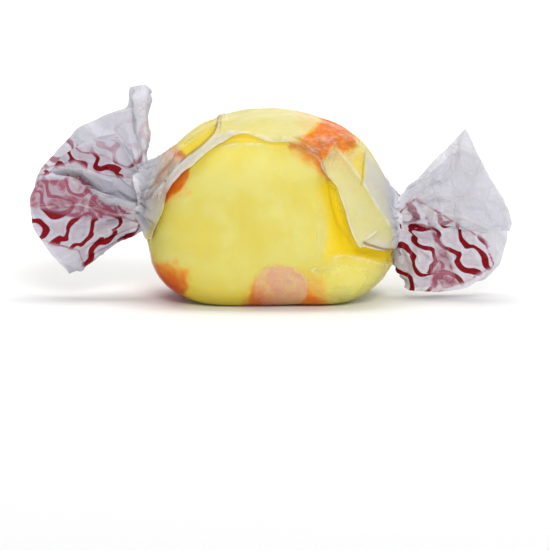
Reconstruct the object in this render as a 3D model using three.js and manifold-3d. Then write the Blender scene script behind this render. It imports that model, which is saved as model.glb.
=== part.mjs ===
// Salt water taffy: a cut length of pulled taffy with orange stripes, twist-wrapped in waxed paper.
//
// Millimetres, +Z up. X runs along the wrapper from twist to twist, and the taffy's cut face looks
// to -Y. The taffy is one soft block, its stripes are four bands let into its side that run from
// cut face to cut face, and the wrapper is one sheet: it goes round the taffy with its long edges
// lapped, is gathered into a neck at each end and opens again into a folded fan.
// Angles round the wrapper are in degrees: 0 faces the front, 90 up, 180 the back, 270 down.
import * as THREE from "three";
import { ConvexGeometry } from "three/addons/geometries/ConvexGeometry.js";
import { mergeVertices } from "three/addons/utils/BufferGeometryUtils.js";
import Module from "manifold-3d";

// ---- Driving dimensions ----

const PAPER = 0.3; // thickness of the sheet
const CLEAR = 0.3; // between the sheet and the taffy, and between two layers of sheet

const TAFFY = {
  width: 25.8,
  height: 19.9,
  depth: 18.4,
  base: PAPER + CLEAR, // height of its flat underside
  sink: 0.4, // how far the round form would reach below that flat
  taper: 0.06, // how much narrower the top is than the middle
  lean: 0.13, // how far the cut face leans back, as a slope
  lowerPower: 3.6, // squareness of the section below the middle
  upperPower: 2.3, // and above it
  facePower: 3.5, // squareness of the rim of the cut faces
};

// The dent in the cut face where the paper is drawn in towards the right neck: points of its floor
// as x and z, deepest at the second.
const DENT = {
  path: [[6.6, 13.6], [8.8, 7.0], [13.4, 5.6]],
  depth: 1.25,
  halfWidth: 1.6,
};

// Stripes: where each lies round the cut face (0 is +X, 90 is up), its width and how deep it is let
// into the side, and how far it drifts sideways from the front of the piece to the back.
const STRIPES = {
  stripe_upper_right: { at: 55, width: 8.8, depth: 3.4, drift: 2.2 },
  stripe_left: { at: 160, width: 5.0, depth: 2.4, drift: -1.6 },
  stripe_lower_left: { at: 214, width: 5.8, depth: 2.9, drift: 1.2 },
  stripe_bottom: { at: 279, width: 7.6, depth: 3.6, drift: -1.4 },
};

const NECK = { radius: 2.35, twist: 200, ridges: 7, ridgeHeight: 0.34 };
const NECKS = {
  left: { out: -1, x: -14.1, z: 11.6, length: 1.6, rootLow: -3.6, rootHigh: 2.0 },
  right: { out: 1, x: 14.0, z: 9.0, length: 1.2, rootLow: -2.3, rootHigh: 2.0 },
};

// The flap: the long edge of the sheet that lies outside, as the angle that it has reached at each
// share of the way from the left neck to the right one. It ends in a free corner near the right.
const FLAP_EDGE = [
  [0, 0], [0.1, 18], [0.2, 46], [0.3, 60], [0.42, 56], [0.54, 50],
  [0.65, 42], [0.71, 22], [0.78, -18], [0.88, -26], [1, -50],
];
const INNER_EDGE = 104; // the angle where the inside long edge ends, under the flap

// Pleats at the shoulders: the angle that each ridge of paper runs out from its neck.
const PLEATS = {
  left: [28, 52, 74, 100, 134, 172, 214, 256, 300, 338],
  right: [-14, 40, 74, 108, 146, 190, 232, 270, 310],
  height: 0.55,
  halfWidth: 9, // in degrees, where the pleat leaves the neck
  reach: 0.2, // share of the sheet's length from neck to neck
};

// Fans: the folded end of the sheet beyond each neck, as points of its rim in order along the paper.
// Each has its angle above the outward direction, its distance from the neck and its depth, which
// counts away from the front.
const FANS = {
  left: [
    [96, 12.7, 0.8], [86, 12.6, 1.6], [84, 10.1, 1.8], [68, 9.9, 2.7], [47, 10.2, 3.5],
    [29, 10.5, 3.6], [14, 11.5, 3.2], [-2, 12.4, 2.6], [-18, 12.4, 2.0], [-31, 11.8, 1.3],
    [-45, 11.5, 0.4], [-51, 12.0, -0.8], [-45, 11.5, -2.0], [-30, 11.7, -3.0], [-14, 12.2, -3.6],
    [2, 12.1, -3.4], [16, 11.2, -2.6], [20, 10.9, -1.6], [10, 11.4, -0.7], [-8, 11.9, -0.7],
    [-21, 11.8, -0.5], [-25, 11.5, 0.1], [-14, 11.6, 0.8], [6, 11.3, 1.2], [28, 9.8, 0.9],
    [50, 8.6, 0.5], [72, 7.6, 0.1],
  ],
  right: [
    [56, 13.1, -2.3], [40, 11.7, -3.2], [24, 11.4, -3.8], [8, 12.5, -3.6],
    [-3, 12.7, -2.9], [-8, 12.5, -1.7], [0, 12.2, -0.8], [16, 11.4, -0.3], [32, 11.0, 0.1],
    [46, 10.6, 0.5], [50, 10.3, 1.3], [39, 11.5, 2.5], [23, 11.3, 3.2], [8, 12.4, 3.6],
    [-2, 12.7, 3.5], [-14, 12.8, 3.1], [-26, 12.9, 2.6], [-37, 12.4, 2.0], [-50, 10.0, 1.3],
    [-68, 8.6, 0.5], [-84, 7.9, -0.3], [-90, 7.7, -1.3], [-82, 7.9, -2.5], [-64, 8.8, -3.2],
    [-44, 10.6, -3.5], [-28, 11.8, -3.0], [-14, 12.0, -2.3], [-3, 11.6, -1.7],
  ],
};
const FAN_SHEET = 0.4; // thickness of the fans' sheet, where the paper lies double at the folds

// ---- Small helpers ----

const radians = THREE.MathUtils.degToRad;
const { clamp, lerp, smoothstep } = THREE.MathUtils;
const wasm = await Module();
wasm.setup();

/** A closed geometry as a manifold-3d solid. */
function toSolid(geometry) {
  const bare = new THREE.BufferGeometry().setAttribute("position", geometry.getAttribute("position"));
  if (geometry.index) bare.setIndex(geometry.index);
  const merged = mergeVertices(bare, 1e-4);
  return new wasm.Manifold(new wasm.Mesh({
    numProp: 3,
    vertProperties: merged.getAttribute("position").array,
    triVerts: new Uint32Array(merged.index.array),
  }));
}

function toGeometry(solid) {
  const { vertProperties, triVerts } = solid.getMesh();
  return new THREE.BufferGeometry()
    .setAttribute("position", new THREE.BufferAttribute(new Float32Array(vertProperties), 3))
    .setIndex(new THREE.BufferAttribute(new Uint32Array(triVerts), 1));
}

/** Indexed geometry from points and triangles. */
function fromFaces(points, faces) {
  return new THREE.BufferGeometry().setFromPoints(points).setIndex(faces);
}

/** A tube through rings of points, each ring in the same turning sense, with its ends closed. */
function loft(rings) {
  const count = rings[0].length;
  const points = rings.flat();
  const faces = [];
  for (let r = 0; r + 1 < rings.length; r++)
    for (let i = 0; i < count; i++) {
      const a = r * count + i;
      const b = r * count + ((i + 1) % count);
      faces.push(a, b, b + count, a, b + count, a + count);
    }
  for (const [ring, flip] of [[0, true], [rings.length - 1, false]]) {
    const middle = rings[ring].reduce((sum, p) => sum.add(p), new THREE.Vector3()).divideScalar(count);
    points.push(middle);
    for (let i = 0; i < count; i++) {
      const edge = [ring * count + i, ring * count + ((i + 1) % count)];
      if (flip) edge.reverse();
      faces.push(points.length - 1, ...edge);
    }
  }
  return fromFaces(points, faces);
}

/** The value at x of a line through [x, value] points. */
function along(points, x) {
  let i = 0;
  while (i + 2 < points.length && x > points[i + 1][0]) i++;
  const [[x0, v0], [x1, v1]] = [points[i], points[i + 1]];
  return lerp(v0, v1, clamp((x - x0) / (x1 - x0), 0, 1));
}

// ---- The taffy ----

const taffyMiddle = TAFFY.base - TAFFY.sink + TAFFY.height / 2;

/** 1 on the taffy's surface, less inside it. */
function fullness(x, y, z) {
  const up = (z - taffyMiddle) / (TAFFY.height / 2);
  const power = lerp(TAFFY.lowerPower, TAFFY.upperPower, smoothstep(up, -0.5, 0.5));
  const across = x / ((TAFFY.width / 2) * (1 - TAFFY.taper * up));
  const deep = (y - TAFFY.lean * (z - taffyMiddle)) / (TAFFY.depth / 2);
  const section = (Math.abs(across) ** power + Math.abs(up) ** power) ** (1 / power);
  const smooth = (section ** TAFFY.facePower + Math.abs(deep) ** TAFFY.facePower) ** (1 / TAFFY.facePower);
  return smooth * (1 + 0.012 * Math.sin(0.5 * x + 0.9) * Math.cos(0.45 * z - 0.6));
}

/** How far from a point, along a unit direction, the far side of the taffy's skin lies, or 0. */
function reachOf(from, way) {
  const isInside = (t) => fullness(from.x + way.x * t, from.y + way.y * t, from.z + way.z * t) < 1;
  const stride = 0.5;
  let inside = TAFFY.width;
  while (inside > 0 && !isInside(inside)) inside -= stride;
  if (inside <= 0) return 0;
  let outside = inside + stride;
  for (let step = 0; step < 14; step++) {
    const mid = (inside + outside) / 2;
    if (isInside(mid)) inside = mid;
    else outside = mid;
  }
  if (way.z < 0) inside = Math.min(inside, (from.z - TAFFY.base) / -way.z);
  return inside;
}

/** Depth of the dent in the front at x and z. */
function dentAt(x, y, z) {
  if (y > 0) return 0;
  const at = new THREE.Vector3(x, 0, z);
  let nearest = Infinity;
  for (let i = 0; i + 1 < DENT.path.length; i++) {
    const [a, b] = [DENT.path[i], DENT.path[i + 1]].map(([px, pz]) => new THREE.Vector3(px, 0, pz));
    const foot = new THREE.Line3(a, b).closestPointToPoint(at, true, new THREE.Vector3());
    nearest = Math.min(nearest, foot.distanceTo(at));
  }
  return DENT.depth * Math.exp(-((nearest / DENT.halfWidth) ** 2));
}

function taffyGeometry(around, deep) {
  const centre = new THREE.Vector3(0, 0, taffyMiddle);
  const rings = [];
  for (let k = 1; k < deep; k++) {
    const tilt = Math.PI * (k / deep);
    const ring = [];
    for (let i = 0; i < around; i++) {
      const turn = (-2 * Math.PI * i) / around;
      const way = new THREE.Vector3(
        Math.sin(tilt) * Math.cos(turn), -Math.cos(tilt), Math.sin(tilt) * Math.sin(turn));
      const p = centre.clone().addScaledVector(way, reachOf(centre, way));
      p.y += dentAt(p.x, p.y, p.z);
      ring.push(p);
    }
    rings.push(ring);
  }
  return loft(rings);
}

/** The space of a stripe: an elliptical bar along Y, centred on the side of the block. */
function stripeSpace(stripe, grow) {
  const turn = radians(stripe.at);
  const centre = new THREE.Vector3(0, 0, taffyMiddle);
  const outward = new THREE.Vector3(Math.cos(turn), 0, Math.sin(turn));
  const sideways = new THREE.Vector3(-Math.sin(turn), 0, Math.cos(turn));
  const side = centre.clone().addScaledVector(outward, reachOf(centre, outward));
  const rings = [];
  const steps = 8;
  for (let k = 0; k <= steps; k++) {
    const share = k / steps - 0.5;
    const swell = 1 + 0.16 * Math.sin(5 * share + stripe.at);
    const ring = [];
    for (let i = 0; i < 20; i++) {
      const a = (2 * Math.PI * i) / 20;
      ring.push(side.clone()
        .addScaledVector(sideways, (stripe.width / 2) * swell * Math.cos(a) + grow * Math.cos(a) + stripe.drift * share)
        .addScaledVector(outward, (stripe.depth * swell + grow) * Math.sin(a))
        .setY(share * TAFFY.depth * 1.6));
    }
    rings.push(ring);
  }
  return toSolid(loft(rings));
}

// ---- The wrapper ----

const axisAt = (x) => new THREE.Vector3(x, 0, THREE.MathUtils.mapLinear(
  x, NECKS.left.x, NECKS.right.x, NECKS.left.z, NECKS.right.z));

/**
 * The line that tight paper takes over the taffy at one angle, from neck to neck, as [x, radius]
 * points: the taffy's own profile with its hollows bridged.
 */
const tightLines = new Map();
function tightLine(angle) {
  const key = Math.round(((angle % 360) + 360) % 360 * 8) / 8;
  if (tightLines.has(key)) return tightLines.get(key);
  const turn = radians(key);
  const way = new THREE.Vector3(0, -Math.cos(turn), Math.sin(turn));
  const line = [];
  const steps = 72;
  for (let i = 0; i <= steps; i++) {
    const x = lerp(NECKS.left.x, NECKS.right.x, i / steps);
    const atNeck = i === 0 || i === steps;
    const point = [x, atNeck ? NECK.radius : reachOf(axisAt(x), way)];
    const bends = ([ax, ar], [bx, br]) =>
      (bx - ax) * (point[1] - ar) - (br - ar) * (point[0] - ax) >= 0;
    while (line.length > 1 && bends(line.at(-2), line.at(-1))) line.pop();
    line.push(point);
  }
  tightLines.set(key, line);
  return line;
}

/** A point of the tight paper at an angle and a share of the way along its line. */
function tightPoint(angle, share) {
  const line = tightLine(angle);
  const lengths = [0];
  for (let i = 1; i < line.length; i++)
    lengths.push(lengths[i - 1] + Math.hypot(line[i][0] - line[i - 1][0], line[i][1] - line[i - 1][1]));
  const wanted = clamp(share, 0, 1) * lengths.at(-1);
  let i = 1;
  while (i + 1 < line.length && lengths[i] < wanted) i++;
  const part = (wanted - lengths[i - 1]) / (lengths[i] - lengths[i - 1]);
  const x = lerp(line[i - 1][0], line[i][0], part);
  const radius = lerp(line[i - 1][1], line[i][1], part);
  const turn = radians(angle);
  return axisAt(x).add(new THREE.Vector3(0, -radius * Math.cos(turn), radius * Math.sin(turn)));
}

/** Height of the shoulder pleats. */
function pleatAt(angle, share) {
  let height = 0;
  for (const [ridges, fromNeck] of [[PLEATS.left, share], [PLEATS.right, 1 - share]]) {
    const fade = 1 - smoothstep(fromNeck, 0.35 * PLEATS.reach, PLEATS.reach);
    for (const ridge of ridges) {
      const off = ((((angle - ridge) % 360) + 540) % 360) - 180;
      height += PLEATS.height * fade * Math.exp(-((off / PLEATS.halfWidth) ** 2));
    }
  }
  return height;
}

/** The paper's surface: lift is measured out from the tight line. */
function paperPoint(angle, share, lift, floor) {
  const [da, ds] = [3, 0.012];
  const p = tightPoint(angle, share);
  const round = tightPoint(angle + da, share).sub(tightPoint(angle - da, share));
  const lengthwise = tightPoint(angle, share + ds).sub(tightPoint(angle, share - ds));
  p.addScaledVector(lengthwise.cross(round).normalize(), lift + pleatAt(angle, share));
  p.z = Math.max(p.z, floor);
  return p;
}

/** The sheet round the taffy: a closed slab from its free edge, once round and under itself. */
function wrapGeometry(around, lengthwise) {
  const step = CLEAR + PAPER;
  const layers = [CLEAR + PAPER, CLEAR].map((base, layer) => {
    const points = [];
    for (let j = 0; j <= lengthwise; j++) {
      const share = j / lengthwise;
      const start = along(FLAP_EDGE, share);
      for (let i = 0; i <= around; i++) {
        const angle = lerp(start, 360 + INNER_EDGE, i / around);
        const lapped = 1 - smoothstep(angle, INNER_EDGE + 8, INNER_EDGE + 50);
        const p = paperPoint(angle, share, base + step * lapped, layer ? PAPER : 0);
        if (angle > 250) p.y += dentAt(p.x, p.y, p.z);
        points.push(p);
      }
    }
    return points;
  });
  const row = around + 1;
  const inner = layers[0].length;
  const faces = [];
  const quad = (a, b, c, d) => faces.push(a, b, c, a, c, d);
  for (let j = 0; j < lengthwise; j++)
    for (let i = 0; i < around; i++) {
      const a = j * row + i;
      quad(a, a + row, a + row + 1, a + 1);
      quad(inner + a, inner + a + 1, inner + a + row + 1, inner + a + row);
    }
  for (let j = 0; j < lengthwise; j++) {
    const [a, b] = [j * row, j * row + around];
    quad(a, inner + a, inner + a + row, a + row);
    quad(b, b + row, inner + b + row, inner + b);
  }
  for (let i = 0; i < around; i++) {
    const [a, b] = [i, lengthwise * row + i];
    quad(a, a + 1, inner + a + 1, inner + a);
    quad(b, inner + b, inner + b + 1, b + 1);
  }
  return fromFaces(layers.flat(), faces);
}

/** The gathered paper of a neck, a short twisted rope. */
function neckGeometry(neck) {
  const rings = [];
  const [steps, around] = [6, 42];
  for (let k = 0; k <= steps; k++) {
    const share = k / steps;
    const x = neck.x + neck.out * lerp(-0.25, neck.length, share);
    const ring = [];
    for (let i = 0; i < around; i++) {
      const turn = (-2 * Math.PI * i) / around;
      const ridge = Math.cos(NECK.ridges * turn + radians(NECK.twist) * share);
      const radius = NECK.radius + CLEAR + PAPER / 2 + NECK.ridgeHeight * ridge;
      ring.push(new THREE.Vector3(x, radius * Math.cos(turn), neck.z + radius * Math.sin(turn)));
    }
    rings.push(ring);
  }
  return loft(neck.out > 0 ? rings.reverse() : rings);
}

/** A point of a fan between its neck, share 0, and its rim, share 1. */
function fanPoint(neck, [angle, reach, depth], share, extent) {
  const turn = radians(angle);
  const tip = neck.x + neck.out * neck.length * 0.7;
  const level = THREE.MathUtils.mapLinear(angle, extent.low, extent.high, neck.rootLow, neck.rootHigh);
  const root = new THREE.Vector3(tip, 0, neck.z + level);
  const rim = new THREE.Vector3(
    tip + neck.out * reach * Math.cos(turn), depth, neck.z + reach * Math.sin(turn));
  const point = root.lerp(rim, share);
  point.y = depth * (0.25 * share + 0.75 * share ** 2) + 0.3 * Math.sin(Math.PI * share) * Math.sign(depth);
  return point;
}

/** A fan as a union of thin convex cells between neighbouring rim points. */
function fanSolid(neck, rim) {
  const angles = rim.map(([angle]) => angle);
  const extent = { low: Math.min(...angles), high: Math.max(...angles) };
  const rings = [0, 0.5, 1];
  const half = new THREE.Vector3(0, FAN_SHEET / 2, 0);
  let fan = null;
  for (let i = 0; i + 1 < rim.length; i++)
    for (let k = 0; k + 1 < rings.length; k++) {
      const corners = [rim[i], rim[i + 1]].flatMap((fold) =>
        [rings[k], rings[k + 1]].map((share) => fanPoint(neck, fold, share, extent)));
      const cell = toSolid(new ConvexGeometry(
        corners.flatMap((p) => [p.clone().add(half), p.clone().sub(half)])));
      fan = fan ? fan.add(cell) : cell;
    }
  return fan;
}

// ---- Assembly ----

const yellow = new THREE.MeshStandardMaterial({ color: 0xf0e06c, roughness: 0.5, metalness: 0 });
const orange = new THREE.MeshStandardMaterial({ color: 0xee7a26, roughness: 0.45, metalness: 0 });
const waxedPaper = new THREE.MeshStandardMaterial({
  color: 0xdcdce6, roughness: 0.4, metalness: 0, transparent: true, opacity: 0.45,
});

const candy = new THREE.Group();
function addPiece(name, solid, material) {
  const mesh = new THREE.Mesh(toGeometry(solid), material);
  mesh.name = name;
  candy.add(mesh);
}

const block = toSolid(taffyGeometry(40, 24));
let taffy = block;
for (const [name, stripe] of Object.entries(STRIPES)) {
  taffy = taffy.subtract(stripeSpace(stripe, CLEAR));
  addPiece(name, block.intersect(stripeSpace(stripe, 0)), orange);
}
addPiece("taffy", taffy, yellow);

let wrapper = toSolid(wrapGeometry(58, 24));
for (const side of ["left", "right"])
  wrapper = wrapper.add(toSolid(neckGeometry(NECKS[side]))).add(fanSolid(NECKS[side], FANS[side]));
// Slivers of air shut in between the folds are filled: only the outer skin of the sheet is kept.
wrapper = wrapper.decompose().sort((a, b) => b.volume() - a.volume())[0];
addPiece("wrapper", wrapper, waxedPaper);

// The origin is at the middle of the whole candy's underside.
const bounds = new THREE.Box3().setFromObject(candy);
const middle = bounds.getCenter(new THREE.Vector3());
candy.position.set(-middle.x, -middle.y, -bounds.min.z);

export default candy;
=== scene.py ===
"""A twist-wrapped piece of salt water taffy, dressed over its CAD frame (Blender 4.5, metres)."""

import math
from functools import partial

import bmesh
import bpy
import numpy as np
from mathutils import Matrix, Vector
from mathutils.bvhtree import BVHTree
from mathutils.geometry import delaunay_2d_cdt


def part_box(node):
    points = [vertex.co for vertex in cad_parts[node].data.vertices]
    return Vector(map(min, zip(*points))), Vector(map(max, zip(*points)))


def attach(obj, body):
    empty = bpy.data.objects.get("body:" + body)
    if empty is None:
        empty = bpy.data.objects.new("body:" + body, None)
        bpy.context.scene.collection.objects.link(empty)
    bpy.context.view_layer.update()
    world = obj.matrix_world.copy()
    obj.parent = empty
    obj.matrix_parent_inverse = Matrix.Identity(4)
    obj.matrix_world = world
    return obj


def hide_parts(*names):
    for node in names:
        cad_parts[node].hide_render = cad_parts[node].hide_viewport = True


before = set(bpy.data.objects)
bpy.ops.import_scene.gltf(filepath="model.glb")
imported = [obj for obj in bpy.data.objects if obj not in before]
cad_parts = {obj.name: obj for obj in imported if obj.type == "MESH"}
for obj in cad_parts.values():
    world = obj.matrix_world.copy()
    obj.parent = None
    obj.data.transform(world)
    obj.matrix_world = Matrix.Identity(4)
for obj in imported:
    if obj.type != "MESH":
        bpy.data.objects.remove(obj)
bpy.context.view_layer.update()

# ---- The taffy block ----
# Sugar and corn syrup, pulled until it is full of air, pale lemon yellow, rolled to a rope and cut
# to a piece that slumps a little on its own weight. Lengths are in millimetres, X runs along the
# wrapper, and the cut face that shows looks to -Y.

BLOCK_WIDTH, BLOCK_HEIGHT, BLOCK_DEPTH = 26.7, 20.8, 19.2
BLOCK_BASE = 0.12  # height of its flat underside
BLOCK_SINK = 0.4  # how far the round form would reach below that flat
BLOCK_TAPER, BLOCK_LEAN = 0.06, 0.13  # how much narrower and how far back it gets as it rises
LOWER_POWER, UPPER_POWER, FACE_POWER = 3.6, 2.3, 3.5  # squareness of its section and of its rims
BLOCK_MIDDLE = BLOCK_BASE - BLOCK_SINK + BLOCK_HEIGHT / 2
SKIN_WANDER = 0.012  # how unevenly it is pulled, as a share of its size
DENT_PATH = np.array([[6.6, 13.6], [8.8, 7.0], [13.4, 5.6]])  # x and z along its floor
DENT_DEPTH, DENT_HALF_WIDTH = 1.25, 1.6
BLOCK_QUADS = 60  # along each edge of the cube that its skin is blown up from
MM = 0.001  # one millimetre in the frame's metres


def ramp(value, start, end):
    """0 up to start, 1 from end on, and smooth between."""
    share = np.clip((value - start) / (end - start), 0, 1)
    return share * share * (3 - 2 * share)


def fullness(p):
    """1 on the block's skin and less inside it, at points given as rows of x, y and z."""
    x, y, z = np.moveaxis(p, -1, 0)
    up = (z - BLOCK_MIDDLE) / (BLOCK_HEIGHT / 2)
    power = LOWER_POWER + (UPPER_POWER - LOWER_POWER) * ramp(up, -0.5, 0.5)
    across = np.abs(x / ((BLOCK_WIDTH / 2) * (1 - BLOCK_TAPER * up)))
    deep = np.abs((y - BLOCK_LEAN * (z - BLOCK_MIDDLE)) / (BLOCK_DEPTH / 2))
    section = (across**power + np.abs(up) ** power) ** (1 / power)
    smooth = (section**FACE_POWER + deep**FACE_POWER) ** (1 / FACE_POWER)
    return smooth * (1 + SKIN_WANDER * np.sin(0.5 * x + 0.9) * np.cos(0.45 * z - 0.6))


def reach(start, way):
    """How far from each start, along a unit way, the far side of the block's skin lies, or 0."""
    inside = np.zeros(start.shape[:-1])
    stride = 0.5
    for far in np.arange(0, BLOCK_WIDTH, stride):
        inside = np.where(fullness(start + way * far) < 1, far, inside)
    missed = (inside == 0) & (fullness(start) >= 1)
    outside = inside + stride
    for _ in range(14):  # halves the stride down to less than a tenth of a micrometre
        mid = (inside + outside) / 2
        short = fullness(start + way * mid[..., None]) < 1
        inside, outside = np.where(short, mid, inside), np.where(short, outside, mid)
    downward = way[..., 2] < 0
    drop = np.where(downward, (start[..., 2] - BLOCK_BASE) / np.where(downward, -way[..., 2], 1), np.inf)
    return np.where(missed, 0, np.minimum(inside, drop))


def far_from(path, at):
    """Distance of points from a path of straight pieces, all in one plane."""
    path = np.array(path, float)
    nearest = np.full(at.shape[:-1], np.inf)
    for a, b in zip(path[:-1], path[1:]):
        share = np.clip(((at - a) @ (b - a)) / ((b - a) @ (b - a)), 0, 1)
        nearest = np.minimum(nearest, np.linalg.norm(at - a - share[..., None] * (b - a), axis=-1))
    return nearest


def beside(lines, at, limit=0.5):
    """How far points lie to the left of the nearest of some lines, and how strong that line is.

    Each line is a path and a strength, which fades out towards the limit and stops at its ends.
    """
    signed = np.full(at.shape[:-1], float(limit))
    strength = np.zeros(at.shape[:-1])
    for path, amount in lines:
        path = np.array(path, float)
        for i, (a, b) in enumerate(zip(path[:-1], path[1:])):
            share = ((at - a) @ (b - a)) / ((b - a) @ (b - a))
            off = at - a - np.clip(share, 0, 1)[..., None] * (b - a)
            far = np.linalg.norm(off, axis=-1)
            side = np.sign((b - a)[0] * (at - a)[..., 1] - (b - a)[1] * (at - a)[..., 0])
            ended = ((i == 0) & (share < 0)) | ((i == len(path) - 2) & (share > 1))
            nearer = far < np.abs(signed)
            signed = np.where(nearer, far * side, signed)
            strength = np.where(nearer, np.where(ended, 0, amount), strength)
    return signed, strength * (1 - ramp(np.abs(signed), 0.6 * limit, limit))


def within(outline, at, soft=0.12):
    """1 inside a closed outline and 0 outside it, with a border that is soft to both sides."""
    outline = np.array(outline, float)
    crossed = np.zeros(at.shape[:-1], int)
    for a, b in zip(outline, np.roll(outline, -1, axis=0)):
        level = (at[..., 1] - a[1]) / np.where(a[1] == b[1], 1, b[1] - a[1])
        left = at[..., 0] < a[0] + level * (b[0] - a[0])
        crossed += (level >= 0) & (level < 1) & (a[1] != b[1]) & left
    from_edge = far_from(np.r_[outline, outline[:1]], at)
    return ramp(np.where(crossed % 2 == 1, from_edge, -from_edge), -soft, soft)


def dent(p):
    """Depth of the hollow that the drawn-in paper presses into the front."""
    sunk = DENT_DEPTH * np.exp(-((far_from(DENT_PATH, p[..., [0, 2]]) / DENT_HALF_WIDTH) ** 2))
    return np.where(p[..., 1] < 0, sunk, 0)


def globe(sides):
    """Directions and quads of a cube blown up to a ball, with that many quads along each edge."""
    steps = np.tan(np.linspace(-np.pi / 4, np.pi / 4, sides + 1))
    a, b = np.meshgrid(steps, steps, indexing="ij")
    ways, quads = [], []
    for axis in range(3):
        for sign in (1, -1):
            face = np.stack([np.full_like(a, sign), a * sign, b], -1)
            first = sum(len(w) for w in ways)
            ways.append(np.roll(face, axis, axis=-1).reshape(-1, 3))
            corner = first + np.arange(sides)[:, None] * (sides + 1) + np.arange(sides)
            quads.append(np.stack(
                [corner, corner + sides + 1, corner + sides + 2, corner + 1], -1).reshape(-1, 4))
    ways = np.concatenate(ways)
    return ways / np.linalg.norm(ways, axis=1, keepdims=True), np.concatenate(quads)


def new_piece(name, points, faces):
    """A smooth mesh object of that name from points in the block's millimetres."""
    mesh = bpy.data.meshes.new(name)
    mesh.from_pydata((points + to_frame) * MM, [], faces.tolist())
    mesh.shade_smooth()
    piece = bpy.data.objects.new(name, mesh)
    bpy.context.scene.collection.objects.link(piece)
    return piece


ways, quads = globe(BLOCK_QUADS)
heart = np.array([0.0, 0.0, BLOCK_MIDDLE])
skin = heart + ways * reach(np.broadcast_to(heart, ways.shape), ways)[:, None]
skin[:, 1] += dent(skin)
# The frame's origin is the middle of the whole sweet. This moves the block to where its node is.
low, high = (np.array(corner) * 1000 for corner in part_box("taffy"))
to_frame = np.array([(low[0] + high[0] - skin[:, 0].min() - skin[:, 0].max()) / 2,
                     (low[1] + high[1] - skin[:, 1].min() - skin[:, 1].max()) / 2, 0.0])
block = new_piece("taffy_block", skin, quads)
welded = bmesh.new()
welded.from_mesh(block.data)
bmesh.ops.remove_doubles(welded, verts=welded.verts, dist=1e-6)
bmesh.ops.recalc_face_normals(welded, faces=welded.faces)
welded.to_mesh(block.data)
welded.free()
block_tree = BVHTree.FromObject(block, bpy.context.evaluated_depsgraph_get())


def nodes_of(material):
    """The material's node tree, emptied."""
    material.use_nodes = True
    tree = material.node_tree
    tree.nodes.clear()
    return tree


def node(tree, kind, inputs=None, **settings):
    """A shader node with its settings, whose inputs are values or other nodes' outputs."""
    made = tree.nodes.new(kind)
    for name, value in settings.items():
        setattr(made, name, value)
    for name, value in (inputs or {}).items():
        if isinstance(value, bpy.types.NodeSocket):
            tree.links.new(value, made.inputs[name])
        else:
            made.inputs[name].default_value = value
    return made


def arithmetic(tree, operation, *values, **settings):
    """The result of one sum on values or other nodes' outputs."""
    made = node(tree, "ShaderNodeMath", dict(enumerate(values)), operation=operation, **settings)
    return made.outputs[0]


def noise(tree, place, scale, detail, **more):
    """A cloudy noise node at that place, with that many clouds a metre and any more of its inputs."""
    inputs = {"Vector": place, "Scale": scale, "Detail": detail, **more}
    return node(tree, "ShaderNodeTexNoise", inputs)


def moved(tree, place, colour, most):
    """A place moved along each axis by a colour's part for it, times the most that it may move."""
    shift = node(tree, "ShaderNodeVectorMath", {0: colour, 1: most}, operation="MULTIPLY")
    return node(tree, "ShaderNodeVectorMath", {0: place, 1: shift.outputs[0]},
                operation="ADD").outputs[0]


def mixed(tree, share, first, second):
    """The colour that lies that share of the way from the first to the second."""
    mix = node(tree, "ShaderNodeMix", {0: share, 6: first, 7: second}, data_type="RGBA")
    return mix.outputs[2]


def ramped(tree, value, low, high, smooth=True):
    """A value from 0 at low to 1 at high."""
    kind = "SMOOTHSTEP" if smooth else "LINEAR"
    made = node(tree, "ShaderNodeMapRange", {0: value, 1: low, 2: high}, interpolation_type=kind)
    return made.outputs[0]


def stretched(tree, value, low, high):
    """A value from 0 to 1 made to run from low to high."""
    return node(tree, "ShaderNodeMapRange", {0: value, 3: low, 4: high}).outputs[0]


# The golden yellow and the deep orange are painted shade, which the sugar's colour takes where shade
# falls.
YELLOW, PALE_YELLOW, GOLDEN_SHADE = (0.79, 0.70, 0.15, 1), (0.80, 0.75, 0.25, 1), (0.93, 0.72, 0.006, 1)
ORANGE, PALE_ORANGE = (0.86, 0.23, 0.010, 1), (0.92, 0.52, 0.06, 1)
SHADED_ORANGE = (0.62, 0.045, 0.006, 1)
BLEED = 5.0  # how far the orange wanders over the edge of its stripe, in millimetres
SPECKLE = 1.6  # how far its small speckles do


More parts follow.
